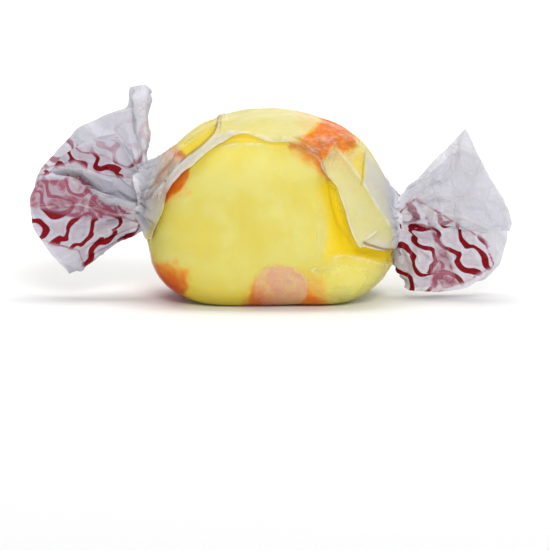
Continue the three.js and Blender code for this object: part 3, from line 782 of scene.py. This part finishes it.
# What the fans show, as outlines in millimetres outward and up from the neck, each with the
# share of the print that it shows and its height towards the front.
LEFT_PANELS = [
    ([[-1.5, 8.4], [1.6, 8.9], [5.4, 7.0], [7.2, 4.6], [-1.5, 3.4]], 0.28, 0.0),
    ([[12.6, 2.6], [9.3, 6.6], [7.5, 5.1], [4.9, 4.6], [2.2, 3.2], [0.2, 5.2], [-1.2, 2.6],
      [0.6, 1.9], [6.6, 2.6]], 1.0, 0.0),
    ([[14.0, -1.6], [14.0, 2.8], [8.0, 2.8], [4.5, -0.6], [1.0, -1.2], [3.3, -3.0], [8.0, -2.6]],
     0.5, -0.25),
    ([[14.0, -0.6], [7.0, -2.4], [3.3, -2.2], [0.6, -2.8], [2.4, -6.2], [5.8, -8.3], [7.2, -7.9],
      [7.8, -5.9], [11.2, -4.8], [13.0, -4.1]], 1.0, 0.15),
    ([[12.8, 2.4], [8.2, 4.1], [6.6, 3.1], [4.3, 2.2], [-0.6, 2.0], [1.4, -0.6], [3.3, 0.6],
      [5.2, 0.2], [7.6, 2.5]], 0.0, 0.7),
]
RIGHT_PANELS = [
    ([[1.0, 1.2], [2.7, 2.6], [4.7, 1.4], [7.0, 0.0], [10.5, -2.1], [11.7, -5.0], [8.6, -6.8],
      [3.2, -8.6], [0.0, -8.6], [0.2, -1.3]], 1.0, 0.0),
    ([[3.2, 1.6], [4.9, -2.6], [4.2, -7.9], [7.6, -7.2], [6.1, -3.0]], 0.55, -0.45),
    ([[1.6, 1.9], [2.8, 0.6], [2.5, -4.0], [1.6, -8.4], [3.0, -8.2], [3.7, -3.4], [3.6, 1.2]],
     1.0, 0.45),
]
FAN_ROWS, NECK_ROWS = 44, 6
FAN_LENGTH = 13  # from neck to rim, to lay a fan out flat
ROOT_OUT = 0.15  # how far beyond the neck a fan begins
ROOT_DEPTH = 0.34  # its depth there, as a share of its depth at the rim
EVEN_FLARE, LATE_FLARE = 0.3, 0.7  # shares of that depth that it gains evenly and near the rim
BOWED = 0.3  # how far its layers bow apart halfway
FAN_CRUMPLES = [(3.4, 0.6), (1.5, 0.3)]  # sizes of the facets that its crumples make, and heights
FOLD_SPACING, FOLD_HEIGHT, FOLD_LOSS = 1.3, 0.55, 0.5  # its fine radial folds, lower by the rim
PRINT_FACET, PRINT_SLIP = 1.6, 0.5  # how large the folds in its print are, and how far it slips
PANEL_SOFTNESS = 0.35  # half the width of the borders of its panels


def fan_rim(folds, side):
    """A fan's rim, reached from its neck, at even steps along it, and the angle at each step."""
    folds = np.array(folds, float)
    turn = np.radians(folds[:, 0])
    rim = np.stack([side * folds[:, 1] * np.cos(turn), folds[:, 2], folds[:, 1] * np.sin(turn)], -1)
    reached = np.r_[0, np.linalg.norm(np.diff(rim, axis=0), axis=1).cumsum()]
    even = np.linspace(0, reached[-1], COLUMNS)
    rim = np.stack([np.interp(even, reached, rim[:, k]) for k in range(3)], -1)
    return softened(rim, 1, wraps=False), np.interp(even, reached, folds[:, 0]), even


def fan(neck, side, stretch, low_root, high_root, folds, panels, creases, seed):
    """A fan's points from its neck to its rim, with what shows at each of them.

    The side is -1 for the left fan and 1 for the right one. Its rim is moved outward by the stretch,
    and it begins between a low and a high root at the neck. What shows is the share of the print,
    the place in the print, and how far off the nearest crease is and how strong.
    """
    rim, angle, even = fan_rim(folds, side)
    rim[:, 0] += side * stretch
    root = np.zeros_like(rim)
    root[:, 0] = side * ROOT_OUT
    root[:, 2] = np.interp(angle, [angle.min(), angle.max()], [low_root, high_root])
    along = np.linspace(0, 1, FAN_ROWS)[:, None]
    grid = neck + root + (rim - root) * along[..., None]
    depth = rim[:, 1]
    grid[..., 1] = depth * (ROOT_DEPTH * (1 - along) + EVEN_FLARE * along + LATE_FLARE * along**2)
    grid[..., 1] += BOWED * np.sin(np.pi * along) * np.sign(depth)
    flat = np.stack(np.broadcast_arrays(even, FAN_LENGTH * along), -1)
    creased = sum(height * crumpled(flat, size, seed + i)
                  for i, (size, height) in enumerate(FAN_CRUMPLES))
    creased *= ramp(along, -0.1, 0.4)
    draw = np.random.default_rng(seed + 2)
    places = np.sort(draw.uniform(0, even[-1], int(even[-1] / FOLD_SPACING)))
    folded = np.interp(even, places, draw.uniform(-1, 1, len(places)))
    creased += folded * np.minimum(3 * along, 1) * (FOLD_HEIGHT - FOLD_LOSS * ramp(along, 0.3, 0.9))
    grid = grid + facing(grid) * creased[..., None]
    seen = np.stack([side * (grid[..., 0] - neck[0]), grid[..., 2] - neck[2]], -1)
    shown = np.zeros(grid.shape[:2])
    for outline, share, height in panels:
        here = within(outline, seen, PANEL_SOFTNESS)
        shown += here * (share - shown)
        grid[..., 1] -= height * here
    slip = PRINT_SLIP * crumpled(flat, PRINT_FACET, seed + 3)
    return grid, shown, seen + np.stack([slip, -slip], -1), beside(creases, seen)


def gathered(ring, root, twist):
    """Rows that turn a neck's ring of paper by a twist in degrees into the root of its fan."""
    centre = ring.mean(0)
    rows = []
    for step in np.linspace(0, 1, NECK_ROWS + 2)[1:-1]:
        turn = math.radians(twist) * step
        spun = ring - centre
        spun = np.stack([spun[:, 0], spun[:, 1] * math.cos(turn) - spun[:, 2] * math.sin(turn),
                         spun[:, 1] * math.sin(turn) + spun[:, 2] * math.cos(turn)], -1)
        row = centre + spun + step * (root.mean(0) - centre) * [1, 0, 0]
        rows.append(row + ramp(step, 0.1, 1) * (root - row))
    return np.array(rows)


left, left_shown, left_flat, left_ridge = fan(
    LEFT_NECK, -1, stretch=1.1, low_root=-3.6, high_root=2.0, folds=LEFT_FAN, panels=LEFT_PANELS,
    creases=LEFT_CREASES, seed=21)
right, right_shown, right_flat, right_ridge = fan(
    RIGHT_NECK, 1, stretch=0.85, low_root=-2.3, high_root=2.0, folds=RIGHT_FAN, panels=RIGHT_PANELS,
    creases=RIGHT_CREASES, seed=31)
left_neck = gathered(body[0], left[0], TWIST)
right_neck = gathered(body[-1], right[0], -TWIST)
sheet = np.concatenate([left[::-1], left_neck[::-1], body, right_neck, right[1:]])
rows = len(sheet)

outward = facing(sheet)
sheet[..., 2] = np.maximum(sheet[..., 2], PAPER + GROUND)
inner_face = sheet - outward * PAPER
inner_face[..., 2] = np.maximum(inner_face[..., 2], GROUND)
grid = np.arange(rows * COLUMNS).reshape(rows, COLUMNS)
quads = np.stack([grid[:-1, :-1], grid[1:, :-1], grid[1:, 1:], grid[:-1, 1:]], -1).reshape(-1, 4)
border = np.r_[grid[0, :-1], grid[:-1, -1], grid[-1, :0:-1], grid[:0:-1, 0]]
following = np.roll(border, -1)
rim = np.stack([border, following, following + grid.size, border + grid.size], -1)
wrapper = new_piece("waxed_wrapper", np.stack([sheet, inner_face]).reshape(-1, 3),
                    np.concatenate([quads, quads[:, ::-1] + grid.size, rim]))


def noted_sheet(name, left_fan, over_block, right_fan, necks=0.0):
    """Stores a value for both faces of the sheet from those of its parts."""
    left_fan, right_fan = (np.broadcast_to(f, (FAN_ROWS, COLUMNS)) for f in (left_fan, right_fan))
    over_block = np.broadcast_to(over_block, (BODY_ROWS, COLUMNS))
    neck = np.full((NECK_ROWS, COLUMNS), necks)
    face = np.concatenate([left_fan[::-1], neck, over_block, neck, right_fan[1:]])
    noted(wrapper, name, np.stack([face, face]))


FAR_OFF = 3.0  # a gap so wide that the paper shows nothing of the sugar
SNUG = 0.15  # the share of the gap that counts where the paper is pressed on, away from the necks
LAP_GAP, NECK_GAP, POCKET_GAP = 0.42, 1.2, 0.5  # what each adds between the paper and the sugar
TIGHT_PULL, CLING_PULL = 0.8, 0.95  # shares of it that a tight fold and a clinging lap take off
CLING_PRESS = 0.2  # and how many millimetres more the clinging lap does
# An air pocket between the paper and the sugar near the foot: x and z of its middle, half its width
# and height, the share of that where its rim begins, and how deep in a stripe its colour is.
POCKET_MIDDLE, POCKET_SIZE = np.array([1.1, 2.4]), np.array([3.4, 3.0])
POCKET_RIM, POCKET_STRIPE = 0.92, 1.5
# How deep the tone is in the shadow along the lap's free edge, at each x, and how wide that is.
EDGE_TONE = np.array([[-13, 0.3], [-12, 0.8], [-3, 1], [0, 0.8], [6, 0.7], [10, 0.9], [14, 0.4]])
EDGE_SHADOW = 0.45
EDGE_HIGHLIGHT = 0.8  # painted highlight of the free edge itself, as for the creases
RIGHT_FAN_LIGHT = 1.4  # painted light of the right fan, between 1 for the left one and 2 for the necks
PRINT_SHIFT = 20  # gives the right fan another stretch of the print

# What the paper shows over the block: how far it stands off, how deep in a stripe the sugar under it
# is, and how much painted shade darkens that sugar's colour. The lap's right half clings to the sugar
# where it shows a stripe.
from_neck = np.minimum(share, 1 - share)
from_pocket = np.linalg.norm((at - POCKET_MIDDLE) / POCKET_SIZE, axis=-1)
pocket = front * (1 - ramp(from_pocket, POCKET_RIM, 1.0))
in_stripe = striped(touched)
near = gap * (SNUG + (1 - SNUG) * ramp(np.abs(body[..., 0]), 10, 13))
near += LAP_GAP * lapped + POCKET_GAP * pocket
near += NECK_GAP * (1 - ramp(from_neck, 0.02, 0.09))
for amount, outline in STANDS_OFF_AND_LIT:
    near += amount * front * within(outline, at, soft=0.2)
free_line = body[:, 0][:, [0, 2]]
# Painted shadow along the lap's free edge on the layer below it, and the sugar's painted shade there,
# darken the colour; these places also pull the paper tight.
shadow = np.exp(-((far_from(free_line, at) / EDGE_SHADOW) ** 2))
shadow = np.interp(at[..., 0], *EDGE_TONE.T) * below * front * shadow
tight = np.maximum(shaded(touched) * below, shadow)
for layer, tight_shade_places, colour_places in ((~below, LAP_TIGHT_SHADE, LAP_COLOUR),
                                           (below, UNDER_TIGHT_SHADE, UNDER_COLOUR)):
    for amount, outline in tight_shade_places:
        tight = np.maximum(tight, amount * layer * front * within(outline, at, soft=0.3))
    for amount, outline in colour_places:
        in_stripe += amount * layer * front * within(outline, at, soft=0.7)
clings = ramp(in_stripe, -2.5, 0.5) * ~below * (body[..., 0] > 0)
near = near * (1 - CLING_PULL * clings) - CLING_PRESS * clings
near *= 1 - TIGHT_PULL * tight
noted_sheet("gap", FAR_OFF, near, FAR_OFF, FAR_OFF)
in_stripe += (POCKET_STRIPE - in_stripe) * pocket
noted_sheet("stripe", NO_STRIPE, in_stripe, NO_STRIPE, NO_STRIPE)
# The painted shade that darkens the sugar's colour seen through the paper.
noted_sheet("deep", 0, tight, 0)

# Its white ridges of painted highlight and cracked wax, with the lap's own edge among them, its dark
# folds of painted shade and its fine wrinkles.
ridge, ridge_strength = beside([(path, white) for path, _, _, white in CREASES], at)
edge_off, edge_strength = beside([(free_line, EDGE_HIGHLIGHT)], at)
edged = (np.abs(edge_off) < np.abs(ridge)) & ~below
ridge = np.where(edged, edge_off, ridge)
ridge_strength = np.where(edged, edge_strength, ridge_strength) * front
noted_sheet("ridge", left_ridge[0], ridge, right_ridge[0])
noted_sheet("ridge_strength", left_ridge[1], ridge_strength, right_ridge[1])
fold, fold_strength = beside(CREVICES, at)
noted_sheet("fold", 0, fold, 0)
noted_sheet("fold_strength", 0, fold_strength * front, 0)
noted_sheet("rumpled", 0, around(at, *WRINKLED) * front, 0)

# The print in the fans and where its pattern is taken from, and the painted light on the paper: 0 is
# warm with light bounced off the sugar, 1 plain in the fans and 2 painted brighter at the necks.
noted_sheet("printed", left_shown, 0, right_shown)
noted_sheet("across", left_flat[..., 0], 0, right_flat[..., 0] + PRINT_SHIFT)
noted_sheet("along", left_flat[..., 1], 0, right_flat[..., 1] + PRINT_SHIFT)
fan_light = 2 - ramp(np.linspace(0, 1, FAN_ROWS), 0.02, 0.3)[:, None]
body_light = 2 - ramp(from_neck, 0, 0.04) - ramp(from_neck, 0.02, 0.12)
noted_sheet("painted_light", fan_light, body_light,
            np.maximum(fan_light, RIGHT_FAN_LIGHT), 2.0)
noted(wrapper, "outer", np.stack([np.ones((rows, COLUMNS)), np.zeros((rows, COLUMNS))]))

PAPER_WHITE, BOUNCE_WARM_WHITE = (0.68, 0.67, 0.75, 1), (0.76, 0.74, 0.67, 1)  # in the fans, and by the sugar painted warm with light bounced off it
# The first is the white of painted highlights and of the wax's cracks.
# The second is painted light that brightens the gathered necks and, in part, the right fan.
HIGHLIGHT_AND_CRACK_WHITE, BRIGHTENED_NECK_WHITE = (0.88, 0.87, 0.84, 1), (0.92, 0.91, 0.95, 1)
# Painted shade in the crevices of folds.
CREVICE_SHADE = (0.30, 0.13, 0.02, 1)
GHOST_PINK, INK_RED = (0.42, 0.09, 0.16, 1), (0.22, 0.001, 0.008, 1)
# Sizes of the print in millimetres: its squares, half the width of its ribbons and of its lines,
# how far noise moves them, and how soft their edges are.
PRINT_SQUARE, PRINT_RIBBON, PRINT_LINE = 2.7, 0.62, 0.27
PRINT_WANDER, LINE_SOFTNESS, TINT_SOFTNESS = 1.2, 0.05, 0.08
TINT = 0.1  # how strong the pale tint between the ribbons is
INNER_PRINT = 0.35  # how strongly it shows through on the sheet's inner face
GHOST = 0.75  # and how strongly through the layers in front of it
CLING_NOISE = 0.5  # how unevenly the paper clings, in millimetres
MILKY = 0.05, 1.15  # between these gaps it goes from the sugar's colour to its own
VEIL = 0.34, 0.62  # how much of what is behind it covers where it clings and where it stands off
COARSE_CELLS, FINE_CELLS = 560.0, 1200.0  # a metre, between the wrinkles
DRIFT = 4 * MM  # how far noise bends the wrinkles
RIDGE_WIDTH, FOLD_WIDTH = 0.5, 0.4  # half widths of creases and crevices in its relief
CRACK_AND_HIGHLIGHT_WIDTH, DARK_WIDTH = 0.2, 0.24  # and in its colour, for the painted highlight with cracked wax and the painted crevice shade


def scroll_print():
    """A group that draws outlined ribbons: quarter rings turned at random in each square."""
    group = bpy.data.node_groups.new("scroll_print", "ShaderNodeTree")
    for name in ("Across", "Along", "Square", "Ribbon", "Line"):
        group.interface.new_socket(name, in_out="INPUT", socket_type="NodeSocketFloat")
    group.interface.new_socket("Ink", in_out="OUTPUT", socket_type="NodeSocketFloat")
    inside = node(group, "NodeGroupInput").outputs
    maths = partial(arithmetic, group)
    flat = node(group, "ShaderNodeCombineXYZ", {0: inside["Across"], 1: inside["Along"]})
    wander = noise(group, flat.outputs[0], 0.35, 1.0)
    most = (PRINT_WANDER, PRINT_WANDER, 0)
    drawn = moved(group, flat.outputs[0], wander.outputs[1], most)
    apart = node(group, "ShaderNodeSeparateXYZ", {0: drawn})
    cell = [maths("DIVIDE", apart.outputs[k], inside["Square"]) for k in (0, 1)]
    corner = [maths("FLOOR", c) for c in cell]
    place = node(group, "ShaderNodeCombineXYZ", {0: corner[0], 1: corner[1]})
    chance = node(group, "ShaderNodeTexWhiteNoise", {"Vector": place.outputs[0]},
                  noise_dimensions="2D")
    turned = maths("GREATER_THAN", chance.outputs[0], 0.5)
    a, b = (maths("SUBTRACT", c, f) for c, f in zip(cell, corner))
    a = maths("ABSOLUTE", maths("SUBTRACT", a, turned))
    rings = []
    for centre in (0.0, 1.0):
        da, db = maths("SUBTRACT", a, centre), maths("SUBTRACT", b, centre)
        far = maths("SQRT", maths("ADD", maths("MULTIPLY", da, da), maths("MULTIPLY", db, db)))
        rings.append(maths("ABSOLUTE", maths("SUBTRACT", far, 0.5)))
    far = maths("MULTIPLY", maths("MINIMUM", *rings), inside["Square"])
    swell = noise(group, flat.outputs[0], 0.5, 0.0).outputs[0]
    width = maths("MULTIPLY", inside["Line"], maths("ADD", swell, 0.5))
    line = ramped(group, maths("SUBTRACT", far, width), LINE_SOFTNESS, -LINE_SOFTNESS)
    beyond = maths("SUBTRACT", far, inside["Ribbon"])
    tint = maths("MULTIPLY", ramped(group, beyond, -TINT_SOFTNESS, TINT_SOFTNESS), TINT)
    node(group, "NodeGroupOutput", {"Ink": maths("MAXIMUM", line, tint)})
    return group


def waxed_paper():
    """White waxed paper, which takes the sugar's colour where it clings and is milky elsewhere."""
    material = bpy.data.materials.new("waxed_paper")
    tree = nodes_of(material)
    place = node(tree, "ShaderNodeTexCoord").outputs["Object"]
    maths = partial(arithmetic, tree)
    clouds = partial(noise, tree, place)
    stored = partial(attribute, tree)

    def line(name, half_width):
        """How strongly the lines stored under that name show, with their half width."""
        far = maths("ABSOLUTE", stored(name))
        return maths("MULTIPLY", ramped(tree, far, half_width, 0.0), stored(name + "_strength"))

    ink = node(tree, "ShaderNodeGroup", {
        "Across": stored("across"), "Along": stored("along"),
        "Square": PRINT_SQUARE, "Ribbon": PRINT_RIBBON, "Line": PRINT_LINE},
        node_tree=scroll_print()).outputs[0]
    printed = stored("printed")
    face = stretched(tree, stored("outer"), INNER_PRINT, 1.0)
    shown = maths("MULTIPLY", maths("MULTIPLY", ink, printed), face)

    # It is most see-through where it clings. There it scatters light more than it stops it, so it
    # throws only a faint shadow.
    cling = clouds(240.0, 4.0).outputs[0]
    uneven = maths("MULTIPLY_ADD", cling, CLING_NOISE, -0.5 * CLING_NOISE)
    gap = maths("ADD", stored("gap"), uneven)
    off = ramped(tree, gap, *MILKY)
    veil = stretched(tree, ramped(tree, gap, 0.1, 0.6), *VEIL)
    shadow = node(tree, "ShaderNodeLightPath").outputs["Is Shadow Ray"]
    spread = maths("MULTIPLY", shadow, maths("MULTIPLY_ADD", off, -0.6, 0.7))
    alpha = maths("MULTIPLY", maths("MAXIMUM", veil, shown), maths("SUBTRACT", 1.0, spread))

    # Its colour, with the print on it and the print of the layers behind showing through as pink.
    # Painted light: warm with light bounced off the sugar by it, plain in the fans, and brighter at the
    # necks and over the right fan.
    paper = mixed(tree, stored("painted_light"), BOUNCE_WARM_WHITE, PAPER_WHITE)
    paper = mixed(tree, ramped(tree, stored("painted_light"), 1.0, 2.0), paper, BRIGHTENED_NECK_WHITE)
    colour = mixed(tree, off, striped_sugar(tree).outputs["Colour"], paper)
    layered = maths("MULTIPLY", ramped(tree, printed, 0.3, 0.5), ramped(tree, printed, 0.9, 0.6))
    mottled = ramped(tree, clouds(520.0, 4.0, Distortion=1.5).outputs[0], 0.38, 0.66)
    layered = maths("MULTIPLY", maths("MULTIPLY", layered, GHOST), maths("ADD", mottled, 0.35))
    colour = mixed(tree, layered, colour, GHOST_PINK)
    inked = mixed(tree, ramped(tree, shown, 0.5, 0.85), GHOST_PINK, INK_RED)
    colour = mixed(tree, ramped(tree, shown, 0.0, 0.5, False), colour, inked)

    # Its relief: fine wrinkles in two sizes, taller where it is loose or rumpled, the creases, the
    # crevices and a little fibre.
    bent = moved(tree, place, clouds(180.0, 2.0).outputs[1], (DRIFT, DRIFT, DRIFT))

    def off_wrinkle(scale):
        """Distance from the nearest wrinkle, where cells of that scale meet."""
        return node(tree, "ShaderNodeTexVoronoi", {"Vector": bent, "Scale": scale},
                    feature="DISTANCE_TO_EDGE").outputs["Distance"]

    coarse = off_wrinkle(COARSE_CELLS)
    fine = maths("MULTIPLY", ramped(tree, off_wrinkle(FINE_CELLS), 0.07, 0.0), 0.7)
    wrinkle = maths("ADD", ramped(tree, coarse, 0.06, 0.0), fine)
    rumpled = stored("rumpled")
    loose = maths("MAXIMUM", maths("MULTIPLY_ADD", off, 0.45, 0.15), rumpled)
    wrinkle = maths("MULTIPLY", wrinkle, loose)
    fibre = clouds(2200.0, 3.0).outputs[0]
    relief = maths("MULTIPLY", wrinkle, maths("MULTIPLY_ADD", rumpled, 1.5, 1.0))
    relief = maths("ADD", relief, maths("MULTIPLY", fibre, 0.12))
    bend = maths("SUBTRACT", line("ridge", RIDGE_WIDTH), line("fold", FOLD_WIDTH))
    bend = maths("MULTIPLY", bend, 1.6)
    bump = node(tree, "ShaderNodeBump", {
        "Height": maths("ADD", relief, bend), "Strength": 0.6, "Distance": 0.15 * MM})

    # Painted highlights and the wax's white cracks along ridges and wrinkles, less so on the print, and
    # painted shade in the crevices.
    patchy = ramped(tree, clouds(900.0, 2.0).outputs[0], 0.3, 0.62)
    streak = ramped(tree, coarse, 0.045, 0.01)
    streak = maths("MULTIPLY", streak, maths("MULTIPLY_ADD", rumpled, 0.5, 0.06))
    streak = maths("MULTIPLY", maths("MULTIPLY", streak, patchy), maths("SUBTRACT", 1.0, shown))
    crack_and_highlight = maths("MULTIPLY", line("ridge", CRACK_AND_HIGHLIGHT_WIDTH), patchy)
    crack_and_highlight = maths("MULTIPLY", crack_and_highlight, maths("MULTIPLY_ADD", shown, -0.75, 1.0))
    colour = mixed(tree, maths("MAXIMUM", streak, crack_and_highlight), colour, HIGHLIGHT_AND_CRACK_WHITE)
    # Painted shade along the crevices.
    dark = maths("MULTIPLY", line("fold", DARK_WIDTH), 0.85)
    colour = mixed(tree, dark, colour, CREVICE_SHADE)
    surface = node(tree, "ShaderNodeBsdfPrincipled", {
        "Base Color": colour, "Roughness": stretched(tree, fibre, 0.3, 0.48), "Alpha": alpha,
        "Normal": bump.outputs[0], "IOR": 1.44, "Specular IOR Level": 0.12})
    node(tree, "ShaderNodeOutputMaterial", {"Surface": surface.outputs[0]})
    material.diffuse_color = PAPER_WHITE
    return material


wrapper.data.materials.append(waxed_paper())
wrapper.data.set_sharp_from_angle(angle=math.radians(50))
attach(wrapper, "root")
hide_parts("wrapper")
# Light passes many folds of see-through paper, two faces each, on its way in and out.
bpy.context.scene.cycles.transparent_max_bounces = 32

# ---- The set ----
# A plain pale board that lies flat under the sweet and sweeps up behind it, lit by three soft boxes
# in a pale room.

ROOM_LIGHT = 0.36
PALE = (0.9, 0.9, 0.9, 1)
# How far back and how high the board's bends are, and half its width, in metres.
SWEEP = [(-0.6, 0.0), (0.5, 0.0), (0.62, 0.012), (0.72, 0.05), (0.78, 0.12), (0.8, 0.6)]
SWEEP_HALF = 1.2
board = bpy.data.meshes.new("sweep")
board.from_pydata(
    [(side, y, z) for y, z in SWEEP for side in (-SWEEP_HALF, SWEEP_HALF)], [],
    [(2 * i, 2 * i + 1, 2 * i + 3, 2 * i + 2) for i in range(len(SWEEP) - 1)])
board.shade_smooth()
sweep = bpy.data.objects.new("sweep", board)
bpy.context.scene.collection.objects.link(sweep)
pale = bpy.data.materials.new("pale_board")
tree = nodes_of(pale)
matt = node(tree, "ShaderNodeBsdfPrincipled", {"Base Color": PALE, "Roughness": 0.9})
node(tree, "ShaderNodeOutputMaterial", {"Surface": matt.outputs[0]})
board.materials.append(pale)


def soft_light(name, place, size, watts, aim=(0, 0, 0.01)):
    """A square soft box at that place, turned to its aim, which is the sweet as a rule."""
    light = bpy.data.lights.new(name, "AREA")
    light.size = size
    light.energy = watts
    lamp = bpy.data.objects.new(name, light)
    lamp.location = place
    lamp.rotation_euler = (Vector(aim) - Vector(place)).to_track_quat("-Z", "Y").to_euler()
    bpy.context.scene.collection.objects.link(lamp)


soft_light("key_box", (0.08, -0.9, 0.6), size=0.3, watts=4.3)
soft_light("fill_box", (0.7, -0.6, 0.45), size=0.4, watts=1.8)
soft_light("back_box", (0.0, 0.2, 0.7), size=0.6, watts=5.0, aim=(0, 0.75, 0.1))
world = bpy.data.worlds.new("studio")
bpy.context.scene.world = world
world.use_nodes = True
background = world.node_tree.nodes["Background"]
background.inputs["Color"].default_value = (1, 1, 1, 1)
background.inputs["Strength"].default_value = ROOM_LIGHT

# ---- The camera ----
# It looks nearly level at the front cut face, a little from above, through a long lens, so that the
# sweet is as large and as far from the middle as in the photograph.

LENS, SENSOR = 300, 36
ELEVATION = 9  # degrees above level
PHOTO_WIDTH, PX_PER_MM = 550, 8.7
MM_ACROSS = PHOTO_WIDTH / PX_PER_MM  # what the photograph takes in at the sweet
AIM = np.array([0.575, 0.0, 2.5])  # millimetres, the point at the photograph's middle
camera = bpy.data.objects.new("camera", bpy.data.cameras.new("camera"))
camera.data.lens = LENS
camera.data.sensor_width = SENSOR
distance = MM_ACROSS * LENS / SENSOR
tilt = math.radians(ELEVATION)
from_aim = distance * np.array([0, -math.cos(tilt), math.sin(tilt)])
camera.location = (AIM + from_aim + to_frame) * MM
camera.rotation_euler = (math.pi / 2 - tilt, 0, 0)
camera.data.clip_start, camera.data.clip_end = 0.01, 10
bpy.context.scene.collection.objects.link(camera)
bpy.context.scene.camera = camera
bpy.context.scene.view_settings.view_transform = "Standard"
